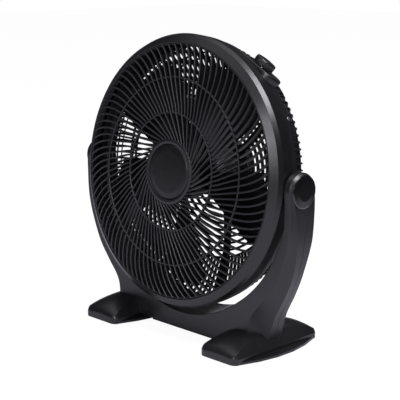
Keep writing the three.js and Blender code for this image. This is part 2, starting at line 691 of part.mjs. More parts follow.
place(head, "motor_front_shield", "shield", frontShield());
place(head, "motor_rear_shield", "shield", rearShield());
place(head, "stator_core", "shield", statorCore());
place(head, "front_winding", "copper", winding(33.2, STATOR[0] - GAP));
place(head, "rear_winding", "copper", winding(STATOR[1] + GAP, 69.5));
place(head, "front_bearing", "brass", bearing(26.4, 32.2));
place(head, "rear_bearing", "brass", bearing(MOTOR_REAR - 5.8, MOTOR_REAR - 0.4));
motorScrewPlaces.forEach((spot, i) => place(head, `motor_screw_${i + 1}`, "steel", motorScrew(spot)));
place(head, "motor_cover", "stand", motorCover());
place(head, "cord_gland", "rubber", cordGland());
place(head, "run_capacitor", "blade", capacitor());
place(head, "control_housing", "stand", controlHousing());
place(head, "rotary_switch", "stand", rotarySwitch());
place(head, "motor_lead", "rubber", motorLead());

place(head, "impeller", "blade", impeller());
place(head, "blade_nut", "blade", bladeNut());
place(head, "motor_shaft", "steel", motorShaft());
place(head, "rotor_core", "shield", rotorCore());

head.add(panel);
place(panel, "speed_knob", "gloss", speedKnob());
place(panel, "switch_shaft", "steel", disc(3, -2.5, 6.7, 20));

export default fan;
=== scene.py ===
"""A drum floor fan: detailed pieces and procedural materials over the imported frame.

Lengths are millimetres in two design frames and become metres in meshed():
- stand frame: X across, Y to the back, Z up, the tilt axis above y = 0
- head frame: Y along the fan's axis to the back; clock angles run clockwise from the top, seen from the front
The camera, the lights and the numbers inside the materials are in metres.
"""
import json
import math

import bmesh
import bpy
import numpy as np
from mathutils import Matrix, Vector


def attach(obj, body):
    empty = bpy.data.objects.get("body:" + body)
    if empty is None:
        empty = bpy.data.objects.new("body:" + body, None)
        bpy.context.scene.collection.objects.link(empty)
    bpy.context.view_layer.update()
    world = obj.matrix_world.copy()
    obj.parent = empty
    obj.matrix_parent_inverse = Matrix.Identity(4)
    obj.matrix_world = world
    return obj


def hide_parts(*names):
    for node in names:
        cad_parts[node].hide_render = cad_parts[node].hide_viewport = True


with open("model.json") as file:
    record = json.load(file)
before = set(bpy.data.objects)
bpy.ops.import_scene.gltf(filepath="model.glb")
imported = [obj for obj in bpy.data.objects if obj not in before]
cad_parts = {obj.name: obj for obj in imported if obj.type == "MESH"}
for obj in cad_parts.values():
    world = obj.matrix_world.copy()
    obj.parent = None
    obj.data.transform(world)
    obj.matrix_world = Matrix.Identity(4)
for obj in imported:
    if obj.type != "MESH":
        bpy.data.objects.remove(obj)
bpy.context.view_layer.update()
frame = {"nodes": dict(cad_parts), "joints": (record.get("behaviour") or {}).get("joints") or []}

# ---- design -------------------------------------------------------------------------------------
joints = {joint["name"]: joint for joint in frame["joints"]}
PIVOT = Vector(joints["head_tilt"]["pos_m"])
SPIN_AXIS = Vector(joints["fan_spin"]["axis"])
KNOB_AT = Vector(joints["knob_turn"]["pos_m"])
KNOB_AXIS = Vector(joints["knob_turn"]["axis"])
MM = Matrix.Scale(0.001, 4)
TILT = math.atan2(-SPIN_AXIS.z, -SPIN_AXIS.y)
STAND = Matrix.Translation((0, PIVOT.y, 0)) @ MM
HEAD = Matrix.Translation(PIVOT) @ Matrix.Rotation(TILT, 4, "X") @ MM
PIVOT_Z = PIVOT.z * 1000
AXIS = np.array((0.0, 1.0, 0.0))  # the fan's own axis in the head frame

OPENING_R, BEZEL_R, DRUM_R = 215, 231.8, 229.4
SCREW_CLOCKS, SCREW_Y = (61, 119, 241, 299), 8  # the screws through the drum into the rear grille
HUB_R, BADGE_R = 56, 46
INNER_RING_R, OUTER_RING_R = 99, 158
RIBS = 90  # of the front grille; every second one starts at the hub, the others at the inner ring
RIM_RIBS, FULL_RIBS = 120, 9  # of the rear grille
PLATE_R, PLATE_Y = 60, 80  # the motor's plate in the middle of the rear grille
GLAND_R, GLAND_Y = 6.3, 87
BLADES, BLADE_R, BLADE_CLOCK = 5, 194, 31
SHAFT_R = 4.3
KNOB_R, FLUTES = 18.5, 40
FOOT_X, FOOT_Y = 147, 14
PAD_YS = {"front": -62, "rear": 90}  # from the tilt axis
SHARP = 32  # degrees between faces from which an edge stays sharp


# ---- camera -------------------------------------------------------------------------------------
LENS_MM, SENSOR_MM = 102.27, 36
CAMERA_AT = Vector((1.366, PIVOT.y - 1.3344, 0.6497))
LOOKS_AT = Vector((0.0189, PIVOT.y, 0.2346))


def make_camera():
    data = bpy.data.cameras.new("camera")
    data.lens, data.sensor_width, data.sensor_fit = LENS_MM, SENSOR_MM, "HORIZONTAL"
    camera = bpy.data.objects.new("camera", data)
    bpy.context.scene.collection.objects.link(camera)
    camera.location = CAMERA_AT
    camera.rotation_mode = "QUATERNION"
    camera.rotation_quaternion = (LOOKS_AT - camera.location).to_track_quat("-Z", "Y")
    bpy.context.scene.camera = camera


make_camera()


# ---- mesh helpers -------------------------------------------------------------------------------
def smooth(stations, at):
    """A smooth curve through [position, value] stations that never overshoots them."""
    x, y = np.array(stations, float).T
    at = np.clip(np.asarray(at, float), x[0], x[-1])
    steps = np.diff(y) / np.diff(x)
    tangent = np.concatenate([[steps[0]], (steps[:-1] + steps[1:]) / 2, [steps[-1]]])
    for i, step in enumerate(steps):
        for k in (i, i + 1):
            if step == 0 or tangent[k] * step < 0:
                tangent[k] = 0
            elif abs(tangent[k]) > 3 * abs(step):
                tangent[k] = 3 * step
    i = np.clip(np.searchsorted(x, at) - 1, 0, len(x) - 2)
    w = x[i + 1] - x[i]
    t = (at - x[i]) / w
    return (
        (2 * t**3 - 3 * t**2 + 1) * y[i] + (t**3 - 2 * t**2 + t) * w * tangent[i]
        + (3 * t**2 - 2 * t**3) * y[i + 1] + (t**3 - t**2) * w * tangent[i + 1]
    )


def rounded(points, radius, steps=3):
    """A closed outline with each corner rounded; a third number in a point is its own radius.

    The point just outside each end of a curve keeps the flat beside it flat under smooth shading.
    """
    most, sliver = 0.48, 0.02  # shares of a side: the most a corner takes, and the flat kept beside it
    made = []
    for i, (x, y, *own) in enumerate(points):
        r = own[0] if own else radius
        corner = np.array((x, y), float)
        back = np.array(points[i - 1][:2], float) - corner
        ahead = np.array(points[(i + 1) % len(points)][:2], float) - corner
        back_length, ahead_length = np.linalg.norm(back), np.linalg.norm(ahead)
        if r == 0:
            made.append(corner)
            continue
        if min(back_length, ahead_length) < 1e-6:
            made += [corner] * (steps + 3)
            continue
        back, ahead = back / back_length, ahead / ahead_length
        half = max(math.acos(np.clip(back @ ahead, -1, 1)) / 2, 0.05)
        reach = min(r / math.tan(half), back_length * most, ahead_length * most)
        start, end = corner + back * reach, corner + ahead * reach
        made.append(start + back * min(0.3, sliver * back_length))
        for t in np.linspace(0, 1, steps + 1):
            made.append((1 - t) ** 2 * start + 2 * t * (1 - t) * corner + t * t * end)
        made.append(end + ahead * min(0.3, sliver * ahead_length))
    return np.array(made)


def polar(radius, clock, y):
    """Points of the head frame from radius, clock angle in degrees and depth."""
    a = np.radians(clock)
    radius, a, y = np.broadcast_arrays(np.asarray(radius, float), a, np.asarray(y, float))
    return np.stack([radius * np.sin(a), y, radius * np.cos(a)], -1)


def grid(points, close_u=False, close_v=False):
    """Vertices and quads over an array of points [u, v, xyz]."""
    nu, nv = points.shape[:2]
    faces = []
    for i in range(nu if close_u else nu - 1):
        for j in range(nv if close_v else nv - 1):
            a, b = (i + 1) % nu, (j + 1) % nv
            faces.append((i * nv + j, a * nv + j, a * nv + b, i * nv + b))
    return points.reshape(-1, 3), faces


def loft(loops):
    """A closed skin over loops of points, with flat ends."""
    points = np.array(loops)
    verts, faces = grid(points, close_v=True)
    count, n = points.shape[:2]
    faces.append(tuple(range(n)))
    faces.append(tuple((count - 1) * n + j for j in range(n)))
    return verts, faces


def lathe(outline, segments=192):
    """A closed outline of (radius, y) points turned about the head's axis."""
    outline = np.asarray(outline, float)
    clock = np.arange(segments) * 360 / segments
    return grid(polar(outline[None, :, 0], clock[:, None], outline[None, :, 1]), True, True)


def bar(path, across, width, depth, corner=0.9, closed=False):
    """A bar with bevelled edges along path; across is the direction of its width."""
    path = np.asarray(path, float)
    if closed:
        tangent = np.roll(path, -1, 0) - np.roll(path, 1, 0)
    else:
        tangent = np.gradient(path, axis=0)
    tangent /= np.linalg.norm(tangent, axis=1)[:, None]
    across = across - (across * tangent).sum(1)[:, None] * tangent
    across /= np.linalg.norm(across, axis=1)[:, None]
    up = np.cross(tangent, across)
    w, d, c = width / 2, depth / 2, corner
    section = [
        (w, d - c), (w - c, d), (c - w, d), (-w, d - c),
        (-w, c - d), (c - w, -d), (w - c, -d), (w, c - d),
    ]
    loops = np.stack([path + across * a + up * b for a, b in section], 1)
    return grid(loops, True, True) if closed else loft(loops)


def hoop(radius, y, width, depth, segments=180):
    """A ring about the head's axis: width along the radius, depth along the axis."""
    clock = np.arange(segments) * 360 / segments
    return bar(polar(radius, clock, y), polar(1, clock, 0), width, depth, closed=True)


def radial(part, clock, y):
    """Turns a part built about Y so that its Y runs outwards at a clock angle."""
    verts, faces = part
    across, along_axis, out = verts[:, 0], -verts[:, 2], verts[:, 1]
    a = math.radians(clock)
    c, s = math.cos(a), math.sin(a)
    return np.stack([across * c + out * s, along_axis + y, out * c - across * s], -1), faces


def joined(parts):
    """One (vertices, faces) from several."""
    verts, faces, offset = [], [], 0
    for v, f in parts:
        verts.append(v)
        faces += [tuple(i + offset for i in face) for face in f]
        offset += len(v)
    return np.concatenate(verts), faces


def meshed(name, part, matrix=HEAD):
    """An object from (vertices, faces) in a design frame, in place and in metres."""
    verts, faces = part
    m = np.array(matrix)
    mesh = bpy.data.meshes.new(name)
    mesh.from_pydata((verts @ m[:3, :3].T + m[:3, 3]).tolist(), [], faces)
    work = bmesh.new()
    work.from_mesh(mesh)
    bmesh.ops.remove_doubles(work, verts=work.verts, dist=2e-6)
    bmesh.ops.recalc_face_normals(work, faces=work.faces)
    work.to_mesh(mesh)
    work.free()
    obj = bpy.data.objects.new(name, mesh)
    bpy.context.scene.collection.objects.link(obj)
    return obj


def with_openings(obj, cutters):
    """Cuts other meshes out of obj, then drops them."""
    for cutter in cutters:
        boolean = obj.modifiers.new("cut", "BOOLEAN")
        boolean.operation, boolean.solver, boolean.object = "DIFFERENCE", "EXACT", cutter
    made = bpy.data.meshes.new_from_object(obj.evaluated_get(bpy.context.evaluated_depsgraph_get()))
    obj.modifiers.clear()
    obj.data = made
    made.set_sharp_from_angle(angle=math.radians(SHARP))
    for cutter in cutters:
        bpy.data.objects.remove(cutter)


def piece(name, parts, body, material, replaces=(), matrix=HEAD, sharp=SHARP, bevel=0):
    """One visible object from its parts, riding on a CAD body."""
    obj = meshed(name, joined(parts if isinstance(parts, list) else [parts]), matrix)
    mesh = obj.data
    mesh.shade_smooth()
    mesh.set_sharp_from_angle(angle=math.radians(sharp))
    mesh.materials.append(material)
    if bevel:
        edge = obj.modifiers.new("edges", "BEVEL")
        edge.width, edge.segments, edge.limit_method = bevel * 0.001, 2, "ANGLE"
        edge.angle_limit = math.radians(sharp)
        edge.harden_normals = True
    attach(obj, body)
    if replaces:
        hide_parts(*replaces)
    return obj


# ---- material helpers ---------------------------------------------------------------------------
def shader(name, **sockets):
    """A new material, its nodes and links, its surface shader and the object's own coordinates."""
    material = bpy.data.materials.new(name)
    material.use_nodes = True
    nodes, links = material.node_tree.nodes, material.node_tree.links
    surface = nodes["Principled BSDF"]
    for key, value in sockets.items():
        surface.inputs[key.replace("_", " ")].default_value = value
    coords = nodes.new("ShaderNodeTexCoord").outputs["Object"]
    return material, nodes, links, surface, coords


def noise(nodes, links, coords, scale, detail=3, roughness=0.55, stretch=None):
    if stretch:
        mapping = nodes.new("ShaderNodeMapping")
        mapping.inputs["Scale"].default_value = stretch
        links.new(coords, mapping.inputs["Vector"])
        coords = mapping.outputs["Vector"]
    made = nodes.new("ShaderNodeTexNoise")
    made.inputs["Scale"].default_value = scale
    made.inputs["Detail"].default_value = detail
    made.inputs["Roughness"].default_value = roughness
    links.new(coords, made.inputs["Vector"])
    return made.outputs["Fac"]


def spread(nodes, links, value, low, high, start=0.35, end=0.65):
    """A value between start and end, spread over low to high."""
    made = nodes.new("ShaderNodeMapRange")
    for key, number in (("From Min", start), ("From Max", end), ("To Min", low), ("To Max", high)):
        made.inputs[key].default_value = number
    links.new(value, made.inputs["Value"])
    return made.outputs["Result"]


def average(nodes, links, first, second):
    """Half of one value and half of another."""
    half = nodes.new("ShaderNodeMath")
    half.operation = "MULTIPLY"
    half.inputs[1].default_value = 0.5
    links.new(second, half.inputs[0])
    both = nodes.new("ShaderNodeMath")
    both.operation = "MULTIPLY_ADD"
    both.inputs[1].default_value = 0.5
    links.new(first, both.inputs[0])
    links.new(half.outputs[0], both.inputs[2])
    return both.outputs[0]


def tinted(nodes, links, value, dark, light):
    """A colour from dark to light along a value."""
    ramp = nodes.new("ShaderNodeValToRGB")
    ramp.color_ramp.elements[0].position, ramp.color_ramp.elements[1].position = 0.3, 0.7
    ramp.color_ramp.elements[0].color = (*dark, 1)
    ramp.color_ramp.elements[1].color = (*light, 1)
    links.new(value, ramp.inputs["Fac"])
    return ramp.outputs["Color"]


def bumped(nodes, links, surface, value, distance, strength=1.0, under=None):
    """Raises the surface by a value, over the bump that is under it."""
    bump = nodes.new("ShaderNodeBump")
    bump.inputs["Distance"].default_value = distance
    bump.inputs["Strength"].default_value = strength
    links.new(value, bump.inputs["Height"])
    if under:
        links.new(under, bump.inputs["Normal"])
    links.new(bump.outputs["Normal"], surface.inputs["Normal"])
    return bump.outputs["Normal"]


def plastic(name, dark, light, rough, grain=0.00004, grain_scale=1800, wave=0.00012, coat=0.0, shine=0.5):
    """Moulded plastic: a fine texture from the tool, slow waves, uneven colour and gloss."""
    material, nodes, links, surface, coords = shader(
        name, Coat_Weight=coat, Coat_Roughness=0.08, Specular_IOR_Level=shine)
    broad = noise(nodes, links, coords, 9, 4)
    middle = noise(nodes, links, coords, 70, 4, 0.6)
    fine = noise(nodes, links, coords, grain_scale, 2, 0.5)
    links.new(tinted(nodes, links, broad, dark, light), surface.inputs["Base Color"])
    uneven = spread(nodes, links, average(nodes, links, middle, broad), *rough)
    links.new(uneven, surface.inputs["Roughness"])
    waves = bumped(nodes, links, surface, noise(nodes, links, coords, 26, 2), wave, 0.6)
    bumped(nodes, links, surface, fine, grain, 1.0, waves)
    return material


def metal(name, dark, light, rough, stretch=(1, 1, 1), scale=600):
    """Plated or pressed metal: a mottled colour and fine scratches, drawn out where stretch is small."""
    material, nodes, links, surface, coords = shader(name, Metallic=1.0)
    mottle = noise(nodes, links, coords, 120, 4)
    fine = noise(nodes, links, coords, scale, 3, 0.6, stretch)
    links.new(tinted(nodes, links, mottle, dark, light), surface.inputs["Base Color"])
    links.new(spread(nodes, links, fine, *rough), surface.inputs["Roughness"])
    bumped(nodes, links, surface, fine, 0.00003, 0.8)
    return material


def wound(name, dark, light):
    """Enamelled wire wound round the fan's axis."""
    material, nodes, links, surface, coords = shader(name, Metallic=0.8, Roughness=0.32)
    wire = nodes.new("ShaderNodeTexWave")
    wire.wave_type, wire.bands_direction = "BANDS", "Y"
    wire.inputs["Scale"].default_value = 260
    wire.inputs["Distortion"].default_value = 1.5
    links.new(coords, wire.inputs["Vector"])
    links.new(tinted(nodes, links, wire.outputs["Fac"], dark, light), surface.inputs["Base Color"])
    bumped(nodes, links, surface, wire.outputs["Fac"], 0.0004, 0.8)
    return material


def rubber(name, dark, light):
    """Dull rubber with a coarse grain."""
    material, nodes, links, surface, coords = shader(name)
    broad = noise(nodes, links, coords, 40, 4)
    fine = noise(nodes, links, coords, 900, 3, 0.7)
    links.new(tinted(nodes, links, broad, dark, light), surface.inputs["Base Color"])
    links.new(spread(nodes, links, fine, 0.68, 0.9), surface.inputs["Roughness"])
    bumped(nodes, links, surface, fine, 0.00012)
    return material


# ---- materials ----------------------------------------------------------------------------------
satin = plastic("satin_plastic", (0.0062, 0.0061, 0.0070), (0.0082, 0.0081, 0.0092), (0.28, 0.36))
housing = plastic("housing_plastic", (0.0038, 0.0038, 0.0046), (0.0054, 0.0054, 0.0062), (0.27, 0.36),
                  grain=0.00002, grain_scale=2200)
ribbed = plastic("grille_plastic", (0.0060, 0.0056, 0.0075), (0.0085, 0.0080, 0.0102), (0.34, 0.46),
                 grain=0.00003, grain_scale=1900)
bladed = plastic("blade_plastic", (0.0014, 0.0014, 0.0020), (0.0024, 0.0024, 0.0031), (0.40, 0.50),
                 grain=0.00003, grain_scale=1500, shine=0.14)
caged = plastic("cage_plastic", (0.0026, 0.0025, 0.0034), (0.0040, 0.0038, 0.0050), (0.38, 0.48),
                grain=0.00003, grain_scale=1900, shine=0.3)
gloss = plastic("gloss_plastic", (0.0030, 0.0030, 0.0036), (0.0042, 0.0042, 0.0048), (0.07, 0.13),
                grain=0.000004, grain_scale=2500, wave=0.00004, coat=0.6)
knobbed = plastic("knob_plastic", (0.0060, 0.0058, 0.0056), (0.0085, 0.0082, 0.0080), (0.20, 0.30),
                  grain=0.00001, grain_scale=2200)
matte = plastic("matte_plastic", (0.010, 0.010, 0.010), (0.018, 0.018, 0.019), (0.55, 0.72),
                grain=0.00006, grain_scale=1400)
marking = plastic("white_mark", (0.72, 0.72, 0.70), (0.80, 0.80, 0.78), (0.42, 0.55),
                  grain=0.00002, grain_scale=1500)
plated = metal("plated_steel", (0.42, 0.43, 0.44), (0.56, 0.57, 0.58), (0.28, 0.42))
pressed = metal("pressed_steel", (0.22, 0.225, 0.23), (0.31, 0.315, 0.32), (0.38, 0.55),
                stretch=(1, 0.2, 1), scale=350)
laminated = metal("laminated_steel", (0.16, 0.16, 0.165), (0.26, 0.26, 0.265), (0.35, 0.6),
                  stretch=(0.1, 9, 0.1), scale=240)
bronze = metal("sintered_bronze", (0.42, 0.29, 0.13), (0.55, 0.38, 0.18), (0.4, 0.55), scale=1400)
copper = wound("copper_wire", (0.25, 0.09, 0.04), (0.62, 0.27, 0.12))
soft = rubber("black_rubber", (0.012, 0.012, 0.012), (0.024, 0.023, 0.022))

# ---- head: bezel and drum -----------------------------------------------------------------------
BEZEL = [
    (OPENING_R, -45.4, 0.7), (216.6, -46, 0.9), (228, -37.6, 1.3), (BEZEL_R, -29.5, 1.3),
    (DRUM_R + 0.4, -6, 0.5), (227.4, -6), (229, -28.8), (226.2, -35.2), (OPENING_R, -43),
]
DRUM = [
    (DRUM_R - 0.5, -5.2, 0.5), (226.8, 8, 3), (222.6, 12, 1.2), (219, 12), (219, 4),
    (224, -2), (224, -16), (226.2, -16), (226.2, -5.2, 0.3),
]
SCREW_WELL = [(0, 224.6), (4.4, 224.6), (4.8, 231), (0, 231)]


def screw_head(radius, base, height):
    """A domed screw head about Y with a cross recess, standing on y = base."""
    clock = np.arange(48) * 7.5
    loops = [
        polar(radius * share, clock, base + height * lift)
        for share, lift in ((0, 0), (1, 0), (1, 0.45), (0.86, 0.86), (0.6, 1))
    ]
    off_the_arm = np.abs(((clock + 45) % 90) - 45)
    recess = np.where(off_the_arm < 12, 0.52, 0.16) * radius
    for share, lift in ((1, 1), (0.7, 0.3), (0, 0.25)):
        loops.append(polar(recess * share, clock, base + height * lift))
    return grid(np.array(loops), close_v=True)


piece("bezel", lathe(rounded(BEZEL, 0.6)), "head", housing, ["bezel_ring"])
drum = piece("drum", lathe(rounded(DRUM, 0.6)), "head", satin, ["drum_housing"])
with_openings(drum, [meshed("well", radial(lathe(SCREW_WELL, 32), clock, SCREW_Y)) for clock in SCREW_CLOCKS])
for i, clock in enumerate(SCREW_CLOCKS):
    piece(f"drum_screw_{i + 1}", radial(screw_head(3.6, 224.9, 2.2), clock, SCREW_Y), "head", plated,
          [f"housing_screw_{i + 1}"])

# ---- head: front grille -------------------------------------------------------------------------
# how far each rib has turned anticlockwise, and the depth of its front edge, by radius
SWEEP = [
    (54, -6), (60, 0), (70, 7.9), (85, 15.3), (99, 20.3), (107, 21.6),
    (125, 25.1), (145, 28), (162, 29.8), (180, 31.8), (200, 34.7), (215, 37.6),
]
DOME = [(0, -57.6), (56, -57.2), (99, -55.7), (158, -53.8), (190, -50.2), (215, -45.4)]
RIB_WIDTH, RIB_DEPTH = 2.9, 7.2
RING_DEPTH, RING_SETBACK = 6, 3.4  # the rings' own depth, and from the ribs' front edge to their middle
GRILLE_RIM = [
    (212.4, -44.6), (OPENING_R - 0.3, -44.9), (OPENING_R - 0.3, -38.2),
    (221.2, -38.2), (221.2, -36), (212.4, -36),
]
HUB = [
    (0, -54.6, 0), (46.4, -54.6), (47.2, -57), (51.2, -58.2, 1.6),
    (55, -56.6, 1.6), (HUB_R, -53.4), (HUB_R, -50.5), (0, -50.5, 0),
]
BADGE = [
    (0, -58.4, 0), (20, -58.3, 0), (36, -57.9, 4), (44.6, -57, 1),
    (BADGE_R, -55.6), (BADGE_R, -54.8), (0, -54.8, 0),
]


def front_rib(clock, start, steps):
    """A swirled rib from a radius out to the grille's rim."""
    radius = np.linspace(start, OPENING_R - 0.8, steps)
    path = polar(radius, clock - smooth(SWEEP, radius), smooth(DOME, radius) + RIB_DEPTH / 2)
    return bar(path, np.cross(np.gradient(path, axis=0), AXIS), RIB_WIDTH, RIB_DEPTH)


def front_grille():
    starts = ((HUB_R - 1.5, 22), (INNER_RING_R, 16))
    parts = [front_rib(i * 360 / RIBS, *starts[i % 2]) for i in range(RIBS)]
    for radius in (INNER_RING_R, OUTER_RING_R):
        parts.append(hoop(radius, smooth(DOME, radius) + RING_SETBACK, RIB_WIDTH, RING_DEPTH))
    return parts + [lathe(rounded(GRILLE_RIM, 0.7)), lathe(rounded(HUB, 0.7), 128)]


piece("swirl_grille", front_grille(), "head", ribbed, ["front_grille"])
piece("hub_badge", lathe(rounded(BADGE, 0.7, 4), 128), "head", housing, ["grille_badge"])

# ---- head: rear grille --------------------------------------------------------------------------
# the middle of a rib, (radius, y), from the drum's rim round the corner and in to the motor's plate
CAGE = [
    (216, 5), (217.6, 12), (219, 20), (218.4, 26), (215, 32), (208.5, 37.5), (200, 42),
    (180, 51.5), (165, 58), (153.4, 62.5), (124, 70.8), (90, 75.5), (PLATE_R, 78),
]
CAGE_FACE = CAGE[4:]  # behind the corner, where each radius has one depth
RIM_REACH = 10  # stations of CAGE that a rim rib follows
INNER_HOOP_R, HOOP_PITCH, INNER_HOOPS = 71.5, 11.7, 7
OUTER_HOOP_RS = (153.4, 195, 203.5)
CORNER_HOOPS = ((219, 20, 3, 3), (217, 28.5, 2.6, 2.6))  # radius, y, width, depth
ARM_CLOCKS = (46.5, 166.5)  # the two wide arms; the first one covers the motor's lead
# widths and depths of the bars
ARM_SIZE, FULL_RIB_SIZE, RIM_RIB_SIZE = (14, 6.5), (2.4, 4.6), (3.1, 6)
INNER_HOOP_SIZE, OUTER_HOOP_SIZE = (3.8, 6.2), (3, 5)
CAGE_RIM = [(213.8, 4.8), (218.6, 4.8), (218.6, 11.4), (213.8, 11.4)]
PLATE = [(17, 77), (58, 77), (PLATE_R, 78.5), (PLATE_R, PLATE_Y), (17, PLATE_Y)]


def cage_rib(clock, reach, steps, size):
    """A rib that follows CAGE for its first so many stations."""
    line = np.array(CAGE[:reach], float)
    length = np.concatenate([[0], np.cumsum(np.linalg.norm(np.diff(line, axis=0), axis=1))])
    at = np.linspace(0, length[-1], steps)
    radius, y = (smooth(np.stack([length, line[:, k]], -1), at) for k in (0, 1))
    return bar(polar(radius, clock, y), np.repeat(polar(1, clock + 90, 0)[None], steps, 0), *size, 0.8)


def cage_hoop(radius, width, depth):
    """A ring across the ribs behind the corner."""
    r, y = np.array(CAGE_FACE, float).T
    return hoop(radius, float(smooth(np.stack([r[::-1], y[::-1]], -1), radius)) - 0.3, width, depth)


def rear_grille():
    parts = [cage_rib(i * 360 / RIM_RIBS + 1.5, RIM_REACH, 18, RIM_RIB_SIZE) for i in range(RIM_RIBS)]
    for k in range(FULL_RIBS):
        clock = ARM_CLOCKS[0] + k * 360 / FULL_RIBS
        parts.append(cage_rib(clock, len(CAGE), 26, ARM_SIZE if clock in ARM_CLOCKS else FULL_RIB_SIZE))
    parts += [cage_hoop(INNER_HOOP_R + HOOP_PITCH * k, *INNER_HOOP_SIZE) for k in range(INNER_HOOPS)]
    parts += [cage_hoop(radius, *OUTER_HOOP_SIZE) for radius in OUTER_HOOP_RS]
    parts += [hoop(*ring) for ring in CORNER_HOOPS]
    return parts + [lathe(rounded(CAGE_RIM, 0.8)), lathe(rounded(PLATE, 0.6), 128)]


piece("cage_grille", rear_grille(), "head", caged, ["rear_grille"])

# ---- head: motor cover and its vents ------------------------------------------------------------
COVER = [
    (59.6, 80.4), (59.6, 84, 4), (56, 92, 8), (46, 97, 8), (14, 99, 10), (0, 99, 0),
    (0, 96.6, 0), (45, 94.6, 5), (54, 90.6, 5), (57.2, 84, 3), (57.2, 80.4),
]
SLOT_RS, SLOTS, SLOT_HALF_ANGLE = (24, 34, 44), 12, 10
SLOT_Y, SLOT_WIDTH, SLOT_DEPTH = 96, 3, 14


def cover_slots():
    """Three rings of curved vents through the back of the cover."""
    slots = []
    for radius in SLOT_RS:
        for k in range(SLOTS):
            clock = (k + 0.5) * 360 / SLOTS + np.linspace(-SLOT_HALF_ANGLE, SLOT_HALF_ANGLE, 9)
            path = polar(radius, clock, SLOT_Y)
            slots.append(bar(path, polar(1, clock, 0), SLOT_WIDTH, SLOT_DEPTH, 1.2))
    return joined(slots)


cover = piece("vented_cover", lathe(rounded(COVER, 0.6, 5), 128), "head", satin,
              ["motor_cover"])
gland_way = lathe([(0, 44), (GLAND_R, 44), (GLAND_R, 70), (0, 70)], 32)
with_openings(cover, [meshed("slots", cover_slots()), meshed("gland_way", radial(gland_way, 180, GLAND_Y))])

# ---- rotor --------------------------------------------------------------------------------------
ROOT_R = 40  # inside the hub
# clock angles of a blade's leading and trailing edges, and their depths, by radius
BLADE_LEAD = [(ROOT_R, 23), (80, 26), (130, 25), (180, 22), (BLADE_R, 14)]
BLADE_TRAIL = [(ROOT_R, -23), (80, -20), (130, -20), (180, -20), (BLADE_R, -12)]
LEAD_Y = [(ROOT_R, -3), (80, 4), (130, 6), (180, 6), (BLADE_R, 3)]
TRAIL_Y = [(ROOT_R, -27), (80, -30), (130, -30), (180, -27), (BLADE_R, -23)]
CAMBER = 4
EDGE_THICKNESS, MORE_THICKNESS = 0.25, 0.95  # half of a blade's thickness at its edge, and more inside
ROTOR_HUB = [
    (SHAFT_R, -31, 0), (40, -31, 3), (46, -25, 4), (46, 4), (43.5, 4),
    (43.5, -24, 2), (10, -27), (10, 2), (SHAFT_R, 2),
]
NUT = [
    (SHAFT_R, -31.3, 0), (16, -31.3), (15, -38, 2), (9, -46, 3), (0, -47, 0),
    (0, -43.4, 0), (SHAFT_R, -43.4, 0),
]
NUT_RIDGE = [(15.6, -32.5), (14.9, -38), (11.5, -43.2)]
NUT_RIDGES = 6


def blade(clock):
    """A twisted, cambered blade: its leading edge is at the rear."""
    radius = np.concatenate([np.linspace(ROOT_R, 180, 15), np.linspace(184, BLADE_R, 6)])
    t = np.linspace(0, 1, 17)  # from the leading to the trailing edge
    thickness = EDGE_THICKNESS + MORE_THICKNESS * np.sin(np.pi * t) ** 0.35
    sides = []
    for side in (-1, 1):
        rows = []
        for r in radius:
            lead, trail, lead_y, trail_y = (
                smooth(curve, r) for curve in (BLADE_LEAD, BLADE_TRAIL, LEAD_Y, TRAIL_Y))
            y = lead_y + (trail_y - lead_y) * t + CAMBER * np.sin(np.pi * t) + side * thickness
            rows.append(polar(r, clock + lead + (trail - lead) * t, y))
        sides.append(np.array(rows))
    return loft(np.concatenate([sides[0], sides[1][:, ::-1]], 1))


def nut_ridge(clock):
    path = np.array([polar(r, clock, y) for r, y in NUT_RIDGE])
    return bar(path, np.repeat(polar(1, clock + 90, 0)[None], len(path), 0), 2.4, 2, 0.6)


blades = [blade(i * 360 / BLADES + BLADE_CLOCK) for i in range(BLADES)]
rotor_hub = lathe(rounded(ROTOR_HUB, 0.6, 4), 96)
piece("fan_blades", blades + [rotor_hub], "rotor", bladed, ["impeller"])
nut_ridges = [nut_ridge(i * 360 / NUT_RIDGES) for i in range(NUT_RIDGES)]
nut = lathe(rounded(NUT, 0.6, 4), 64)
piece("spinner_nut", [nut] + nut_ridges, "rotor", bladed, ["blade_nut"])

# ---- head: control housing and knob -------------------------------------------------------------
POD_LEFT, POD_RIGHT, POD_HALF_WIDTH = -56, 43, 22.5
POD_LEFT_FALL, POD_RIGHT_FALL = (-10, 310), (22, 500)  # where each end starts to fall, and how slowly
# insets and heights of the pod's top, from its middle out to its edge
POD_TOP = ((19, -2.2), (8, -2.0), (4.2, -1.6), (3.2, -0.5), (2.2, 0), (1.2, -0.15), (0.4, -0.8), (0, -2))
# the outside of the drum and the cage under the pod: (y, radius)
SKIN = [(-7, DRUM_R), (8, 226.8), (12, 222), (24, 221.5), (34, 217), (44, 202)]
# the knob's profile: (radius, height, depth of its flutes)
KNOB = (
    (6, 0.7, 0), (17.2, 0.7, 0), (17.9, 1.0, 0), (KNOB_R, 1.6, 0.75), (KNOB_R, 9.2, 0.75),
    (18.3, 9.9, 0.2), (18.3, 10.6, 0), (17.7, 11.6, 0), (16.4, 12.1, 0), (15.4, 11.9, 0),
    (14.6, 12.2, 0), (10, 13.0, 0), (5, 13.4, 0), (0, 13.5, 0),
)
# the pointer beside the knob, on the bezel's rear edge
MARK_CLOCK, MARK_HALF_ANGLE, MARK_RS, MARK_YS = 39.8, 0.45, (229, 230.3), (-10.4, -6.2)

to_head = HEAD.inverted()
knob_at = np.array(to_head @ KNOB_AT)
panel_normal = np.array(to_head.to_3x3() @ KNOB_AXIS)
panel_normal /= np.linalg.norm(panel_normal)
along = np.cross(AXIS, panel_normal)
along /= np.linalg.norm(along)
panel_front = np.cross(along, panel_normal)


